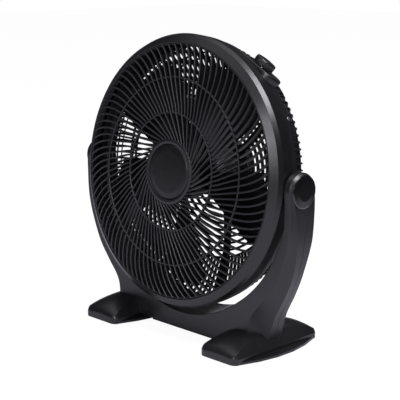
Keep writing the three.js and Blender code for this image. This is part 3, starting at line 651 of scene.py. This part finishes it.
def on_panel(x, height, z):
    """Points of the head frame from the knob's own frame: x clockwise round the drum, z to the front."""
    x, height, z = np.broadcast_arrays(*(np.asarray(v, float) for v in (x, height, z)))
    return knob_at + x[..., None] * along + height[..., None] * panel_normal + z[..., None] * panel_front


def pod_loop(inset, height, steps=14):
    """A long oval on the panel, which drops towards its ends after the drum's curve."""
    half = POD_HALF_WIDTH - inset
    left, right = POD_LEFT + POD_HALF_WIDTH, POD_RIGHT - POD_HALF_WIDTH
    a = np.linspace(-math.pi / 2, math.pi / 2, steps)
    x = np.concatenate([right + half * np.cos(a), left - half * np.cos(a)])
    z = np.concatenate([half * np.sin(a), half * np.sin(a[::-1])])
    for side, (start, slowness) in ((-1, POD_LEFT_FALL), (1, POD_RIGHT_FALL)):
        height = height - np.maximum(side * (x - start), 0) ** 2 / slowness
    return on_panel(x, height, z)


def drop_to_skin(points, step=0.6, clearance=0.35):
    """How far each point has to go down the panel's normal to reach the drum or the cage."""
    drop = np.zeros(len(points))
    for _ in range(60):
        moved = points - drop[:, None] * panel_normal
        radius, y = np.hypot(moved[:, 0], moved[:, 2]), moved[:, 1]
        drop += np.where(radius > np.interp(y, *np.array(SKIN).T) + clearance, step, 0)
    return drop


def control_pod():
    """A top with a raised rim, walls down to the drum, and a hollow inside."""
    loops = [pod_loop(inset, height) for inset, height in POD_TOP]
    edge = loops[-1]
    drop = drop_to_skin(edge)
    loops += [edge - (drop * share)[:, None] * panel_normal for share in (0.3, 0.65, 1)]
    loops.append(pod_loop(2.5, -3.2) - np.maximum(drop - 1, 0)[:, None] * panel_normal)
    loops.append(pod_loop(3.5, -4.4))
    return loft(loops)


def fluted_knob():
    turn = np.arange(FLUTES * 8) * 2 * math.pi / (FLUTES * 8)
    groove = np.abs(np.sin(turn * FLUTES / 2)) ** 1.6
    loops = []
    for radius, height, depth in KNOB:
        r = radius - depth * (1 - groove)
        loops.append(on_panel(r * np.cos(turn), height, r * np.sin(turn)))
    return grid(np.array(loops), close_v=True)


def pointer_mark():
    front, rear = MARK_YS
    corners = ((-1, front), (1, front), (1, rear), (-1, rear))
    return loft([
        np.array([polar(r, MARK_CLOCK + turn * MARK_HALF_ANGLE, y) for turn, y in corners]) for r in MARK_RS
    ])


piece("control_pod", control_pod(), "head", housing, ["control_housing"], sharp=50)
piece("fluted_knob", fluted_knob(), "knob", knobbed, ["speed_knob"], sharp=40)
piece("pointer_mark", pointer_mark(), "head", marking, bevel=0.15)

# ---- stand --------------------------------------------------------------------------------------
# The U is a row of sections on rays from the pivot: ray 0 is level, ray 90 points straight down.
# Each list gives a measure of the section by the ray's angle.
ARM_IN, ARM_OUT, ARM_TOP = 233.4, 249, 30  # the arms' inside, outside and height above the pivot
BORE_R = 8.2  # round the pivot bolt
INNER_R = 240  # the cradle's inside below the arms
INNER_DIP = ([55, 85], [0, 5])  # and how much lower it lies towards the middle: rays, millimetres
FRONT_Y, BOTTOM_Z = -29, 9
BAR_RAY, BAR_CHAMFER = 60, 3  # from this ray down the section is the crossbar's
CREASE = [(0, 245), (8, 249), (17, 255), (29, 260.4), (37, 265), (45, 267), (54, 277), (BAR_RAY, 316)]
CORNER = [(0, ARM_OUT), (12, 254.6), (20, 262.5), (30, 274), (40, 283), (48, 293), (53, 309), (57, 326)]
CORNER_FRONT = [(0, -26), (17, -12), (30, -8.5), (48, -4), (BAR_RAY, -3)]
CORNER_BACK = [(0, 27), (17, 26), (30, 18), (40, 21), (53, 28), (BAR_RAY, 30)]
BACK = [(0, 30), (30, 31), (38, 37), (48, 46), (BAR_RAY, 52), (90, 52)]
SEAM = [(0, 14), (8, 12), (15, 7), (22, 5), (40, 7), (52, 12), (BAR_RAY, 14), (90, 14)]
HALF_SEAM, SEAM_STEP = 0.3, 0.25  # half of the gap between the shells, and the rear one's step in
CAP_RAY = 6  # from here up the front grows by 1 mm to meet the arm's cap
CAP_OUTLINE = [
    (ARM_IN, BORE_R, 0), (ARM_IN, ARM_TOP, 1.6), (244.6, ARM_TOP, 1.8), (ARM_OUT, 26.4, 1.4),
    (ARM_OUT, BORE_R, 0),
]


def stand_section(ray):
    """Corners of the U's section, (radius, y), from the inner front round to the inner back."""
    a = math.radians(ray)
    floor = (PIVOT_Z - BOTTOM_Z) / math.sin(a) if ray > 50 else math.inf
    arm_inside = ARM_IN / math.cos(a) if ray < BAR_RAY else math.inf
    inner = min(INNER_R + np.interp(ray, *INNER_DIP), arm_inside)
    crease = min(float(smooth(CREASE, ray)), floor)
    corner = max(min(float(smooth(CORNER, ray)), floor), crease)
    front, back = FRONT_Y, float(smooth(BACK, ray))
    if ray >= BAR_RAY:
        corner_front, corner_back = front + BAR_CHAMFER, back - BAR_CHAMFER
    else:
        corner_front, corner_back = float(smooth(CORNER_FRONT, ray)), float(smooth(CORNER_BACK, ray))
    if ray < CAP_RAY:
        front -= 1 - ray / CAP_RAY
    return [
        (inner, front), (crease, front), (corner, corner_front),
        (corner, corner_back), (crease, back), (inner, back),
    ]


def shell_outline(corners, seam, front):
    """The half of a section before or behind the seam, with its corners rounded."""
    inner, outer = corners[0][0], corners[2][0]
    if front:
        return rounded([
            (inner, seam, 0.5), (inner, corners[0][1], 1.6), (*corners[1], 1.8),
            (outer, corners[2][1], 1.4), (outer, seam, 0.7),
        ], 1, 4)
    stepped = outer - SEAM_STEP
    return rounded([
        (stepped, seam, 0.7), (stepped, corners[3][1], 2.2), (*corners[4], 2.2),
        (inner, corners[5][1], 1.6), (inner, seam, 0.5),
    ], 1, 4)


def place_section(outline, ray, side):
    a = math.radians(ray)
    r, y = outline.T
    return np.stack([side * r * math.cos(a), y, PIVOT_Z - r * math.sin(a)], -1)


def stand_shell(front):
    """The front or the rear half of the U, from one arm's pivot down and up to the other's."""
    rays = np.concatenate([np.linspace(0, 56, 57), np.linspace(57, BAR_RAY, 7), np.linspace(61.5, 90, 20)])
    half = []
    for ray in rays:
        seam = float(smooth(SEAM, ray)) + (-HALF_SEAM if front else HALF_SEAM)
        half.append((shell_outline(stand_section(ray), seam, front), ray))
    loops = [place_section(outline, ray, 1) for outline, ray in half]
    loops += [place_section(outline, ray, -1) for outline, ray in half[-2::-1]]
    return loft(loops)


def arm_cap(front, side):
    """The rounded top of an arm, before or behind the seam."""
    seam_turn = math.degrees(math.asin(SEAM[0][1] / ARM_TOP))
    if front:
        turns = np.linspace(0, 90 + seam_turn - 0.35, 27)
    else:
        turns = np.linspace(90 + seam_turn, 180, 16)
    x, rho = rounded(CAP_OUTLINE, 1, 4).T
    return loft([
        np.stack([side * x, -rho * math.cos(a), PIVOT_Z + rho * math.sin(a)], -1) for a in np.radians(turns)
    ])


for name, front in (("front", True), ("rear", False)):
    parts = [stand_shell(front), arm_cap(front, -1), arm_cap(front, 1)]
    piece(f"stand_{name}", parts, "stand", satin, [f"stand_{name}_shell"], STAND, sharp=26)

# ---- feet ---------------------------------------------------------------------------------------
FOOT_HALF_LENGTH, FOOT_HALF_WIDTH = 103, 63
FOOT_PLAN_R = 228  # of the arcs of its sides in plan
END_HALF_WIDTH = 29  # where its ends are cut off
END_CORNER, END_LENGTH = 12.4, 10  # how much each corner widens over the last stretch
FOOT_WALL, FOOT_RISE, FOOT_CROWN = 11.5, 29.5, 13  # its wall, the dome over it and the fall to its sides
BEVEL_SLOPE = 1.9


def foot_top(x, half, ridge):
    """Height of the dome at x, where the foot is half wide; ridge is 1 half way along and 0 at the ends."""
    return FOOT_WALL + ridge * (FOOT_RISE - FOOT_CROWN * (x / half) ** 2)


def foot_row(u):
    """The place along the foot for u, from -1 at the front to 1 at the rear, and its outline (x, z) there."""
    y = u * FOOT_HALF_LENGTH
    past = max(0, abs(y) - (FOOT_HALF_LENGTH - END_LENGTH)) / END_LENGTH
    half = FOOT_HALF_WIDTH - y * y / (2 * FOOT_PLAN_R)
    half = min(half, END_HALF_WIDTH + END_CORNER * math.sqrt(max(0, 1 - past * past)))
    ridge = math.sqrt(max(0, 1 - abs(u) ** 2.4))
    crease = 0.0  # how far in from the side the bevel meets the dome
    for _ in range(6):
        crease = (foot_top(half - crease, half, ridge) - FOOT_WALL) / BEVEL_SLOPE
    crease = min(crease, half * 0.5)
    inner = np.linspace(-(half - crease), half - crease, 33)
    bevel = np.linspace(0, 1, 6)[:-1]
    xs = np.concatenate([-half + crease * bevel, inner, (half - crease * bevel)[::-1]])
    zs = np.minimum(foot_top(xs, half, ridge), FOOT_WALL + BEVEL_SLOPE * (half - np.abs(xs)))
    skirt = np.array([
        (-half + 0.6, 1.6), (-half, 2.4), (-half, FOOT_WALL - 1.0), (-half, FOOT_WALL - 0.35),
    ])
    return y, np.concatenate([skirt, np.stack([xs, zs], -1), skirt[::-1] * (-1, 1)])


def foot(side):
    """A lens-shaped domed cover: side bevels rise to a crease that is highest half way along."""
    rows = []
    for u in np.sin(np.linspace(-math.pi / 2, math.pi / 2, 61)):
        y, outline = foot_row(u)
        x, z = outline.T
        rows.append(np.stack([side * FOOT_X + x, np.full(len(x), FOOT_Y + y), z], -1))
    return loft(rows)


def pad(x, y):
    """A round rubber pad, flat underneath."""
    a = np.arange(48) * math.pi / 24
    loops = []
    for r, z in ((0, 0), (7.6, 0), (8.6, 0.3), (9, 1), (9, 2.4), (0, 2.4)):
        loops.append(np.stack([x + r * np.cos(a), y + r * np.sin(a), np.full(len(a), float(z))], -1))
    return grid(np.array(loops), close_v=True)


# ---- caps and screws on the arms ----------------------------------------------------------------
GLOSS_CAP = [
    (0, 249.3, 0), (26.6, 249.3), (27, 250.3, 0.7), (25.2, 251.3, 1.2), (15, 252.6, 6), (0, 253, 0),
]
ARM_SCREW_X, ARM_SCREW_Z = 240.5, 262


def gloss_cap(side):
    """A shallow disc about the tilt axis, on the outside of an arm."""
    verts, faces = lathe(rounded(GLOSS_CAP, 0.5, 5), 96)
    return np.stack([side * verts[:, 1], verts[:, 0], PIVOT_Z + verts[:, 2]], -1), faces


def arm_screw(side):
    verts, faces = screw_head(3.4, 30.3, 1.7)
    return verts + np.array((side * ARM_SCREW_X, 0, ARM_SCREW_Z)), faces


for name, side in (("left", -1), ("right", 1)):
    piece(f"{name}_foot_dome", foot(side), "stand", satin, [f"{name}_foot_cover"], STAND,
          sharp=24, bevel=1.1)
    piece(f"{name}_gloss_cap", gloss_cap(side), "stand", gloss, [f"{name}_pivot_cap"], STAND)
    piece(f"{name}_arm_cross_screw", arm_screw(side), "stand", plated,
          [f"{name}_arm_screw"], STAND)
    for end, y in PAD_YS.items():
        piece(f"{name}_{end}_rubber", pad(side * FOOT_X, y), "stand", soft,
              [f"{name}_{end}_pad"], STAND)

# ---- carried-over nodes -------------------------------------------------------------------------
FINISH = {
    satin: ["crossbar_tray", "left_foot_base", "right_foot_base", "left_pivot_boss", "right_pivot_boss"],
    matte: ["rotary_switch", "run_capacitor"],
    soft: ["cord_gland", "motor_lead", "left_friction_washer", "right_friction_washer"],
    plated: ["motor_shaft", "switch_shaft"],
    pressed: ["motor_front_shield", "motor_rear_shield"],
    laminated: ["stator_core", "rotor_core"],
    copper: ["front_winding", "rear_winding"],
    bronze: ["front_bearing", "rear_bearing"],
}
for name in frame["nodes"]:
    fastener = name.endswith(("_screw", "_bolt", "_nut")) or name.startswith("motor_screw")
    if fastener and name != "blade_nut":
        FINISH[plated].append(name)
for material, names in FINISH.items():
    for name in names:
        mesh = frame["nodes"][name].data
        mesh.materials.clear()
        mesh.materials.append(material)

# ---- studio -------------------------------------------------------------------------------------
FLOOR_HALF = 9
FLOOR_GLOW = 0.93  # what the camera sees of the floor by its own light
FLOOR_PAPER = 0.12  # and what it sees there of the light that falls on it
PAINTED_LIGHT_CENTRE, FLOOR_PAINTED_FADE = (-1, -2, 0), (2.5, 3.5)  # painted light in the floor's colour up to the first distance, painted shade from the second
ROOM_RADIANCE, CEILING_RADIANCE, CEILING_FADE = 0.055, 1.0, (0.6, 0.95)
LIGHT_DISTANCE = 3.0
LIGHT_COLOUR = (1.0, 0.98, 1.05)


def seen_by_camera(nodes, links, lit, seen):
    """The seen shader for the camera's own rays, the lit one for reflections and bounced light."""
    mix = nodes.new("ShaderNodeMixShader")
    links.new(nodes.new("ShaderNodeLightPath").outputs["Is Camera Ray"], mix.inputs[0])
    links.new(lit, mix.inputs[1])
    links.new(seen, mix.inputs[2])
    return mix.outputs[0]


def floor_lit(nodes, links, surface, coords):
    """The floor in reflections: mottled pale paper, its colour painted with a pool of light that falls away
    to painted shade at a distance.
    """
    tone = tinted(nodes, links, noise(nodes, links, coords, 2), (0.600, 0.590, 0.630), (0.655, 0.645, 0.685))
    distance = nodes.new("ShaderNodeVectorMath")
    distance.operation = "DISTANCE"
    distance.inputs[1].default_value = PAINTED_LIGHT_CENTRE
    links.new(coords, distance.inputs[0])
    # painted shade: the floor's colour darkens with distance from the centre, standing in for light that
    # falls off
    edge = spread(nodes, links, distance.outputs["Value"], 1.0, 0.06, *FLOOR_PAINTED_FADE)
    edge.node.interpolation_type = "SMOOTHSTEP"
    painted_falloff_tone = nodes.new("ShaderNodeVectorMath")
    painted_falloff_tone.operation = "SCALE"
    links.new(tone, painted_falloff_tone.inputs[0])
    links.new(edge, painted_falloff_tone.inputs["Scale"])
    links.new(painted_falloff_tone.outputs[0], surface.inputs["Base Color"])
    return surface.outputs[0]


def floor_seen(nodes, links):
    """The floor for the camera: near white, with faint shadows."""
    glow = nodes.new("ShaderNodeEmission")
    glow.inputs["Strength"].default_value = FLOOR_GLOW
    paper = nodes.new("ShaderNodeBsdfDiffuse")
    paper.inputs["Color"].default_value = (FLOOR_PAPER, FLOOR_PAPER, FLOOR_PAPER, 1)
    both = nodes.new("ShaderNodeAddShader")
    links.new(glow.outputs[0], both.inputs[0])
    links.new(paper.outputs[0], both.inputs[1])
    return both.outputs[0]


def pale_floor():
    mesh = bpy.data.meshes.new("floor")
    corners = [(x * FLOOR_HALF, y * FLOOR_HALF, 0) for x, y in ((-1, -1), (1, -1), (1, 1), (-1, 1))]
    mesh.from_pydata(corners, [], [(0, 1, 2, 3)])
    floor = bpy.data.objects.new("floor", mesh)
    bpy.context.scene.collection.objects.link(floor)
    material, nodes, links, surface, coords = shader("pale_floor", Roughness=0.7, Specular_IOR_Level=0.1)
    seen = seen_by_camera(nodes, links, floor_lit(nodes, links, surface, coords), floor_seen(nodes, links))
    links.new(seen, nodes["Material Output"].inputs["Surface"])
    mesh.materials.append(material)


def white_room():
    """White behind the object, and for its reflections a dim room under a lighter ceiling."""
    world = bpy.data.worlds.new("studio")
    world.use_nodes = True
    nodes, links = world.node_tree.nodes, world.node_tree.links
    room, white = nodes["Background"], nodes.new("ShaderNodeBackground")
    split = nodes.new("ShaderNodeSeparateXYZ")
    links.new(nodes.new("ShaderNodeTexCoord").outputs["Generated"], split.inputs[0])
    ceiling = spread(nodes, links, split.outputs["Z"], ROOM_RADIANCE, CEILING_RADIANCE, *CEILING_FADE)
    ceiling.node.interpolation_type = "SMOOTHSTEP"
    links.new(ceiling, room.inputs["Strength"])
    room.inputs["Color"].default_value = (1.0, 0.98, 1.06, 1)
    white.inputs["Color"].default_value = (1, 1, 1, 1)
    white.inputs["Strength"].default_value = 1.0
    seen = seen_by_camera(nodes, links, room.outputs[0], white.outputs[0])
    links.new(seen, nodes["World Output"].inputs["Surface"])
    bpy.context.scene.world = world


def softbox(name, azimuth, elevation, size, radiance):
    """A rectangular light; azimuth 0 is in front of the object, 90 on its right."""
    a, e = math.radians(azimuth), math.radians(elevation)
    data = bpy.data.lights.new(name, "AREA")
    data.shape, data.size, data.size_y = "RECTANGLE", *size
    data.energy = radiance * math.pi * size[0] * size[1]
    data.color = LIGHT_COLOUR
    light = bpy.data.objects.new(name, data)
    bpy.context.scene.collection.objects.link(light)
    away = Vector((math.sin(a) * math.cos(e), -math.cos(a) * math.cos(e), math.sin(e)))
    light.location = Vector((0, 0, 0.25)) + away * LIGHT_DISTANCE
    light.rotation_mode = "QUATERNION"
    light.rotation_quaternion = (-away).to_track_quat("-Z", "Y")


pale_floor()
white_room()
softbox("overhead", 95, 61, (1.5, 1.5), 14)
softbox("front", 24, 24, (0.8, 1.3), 12)
bpy.context.scene.view_settings.view_transform = "Standard"
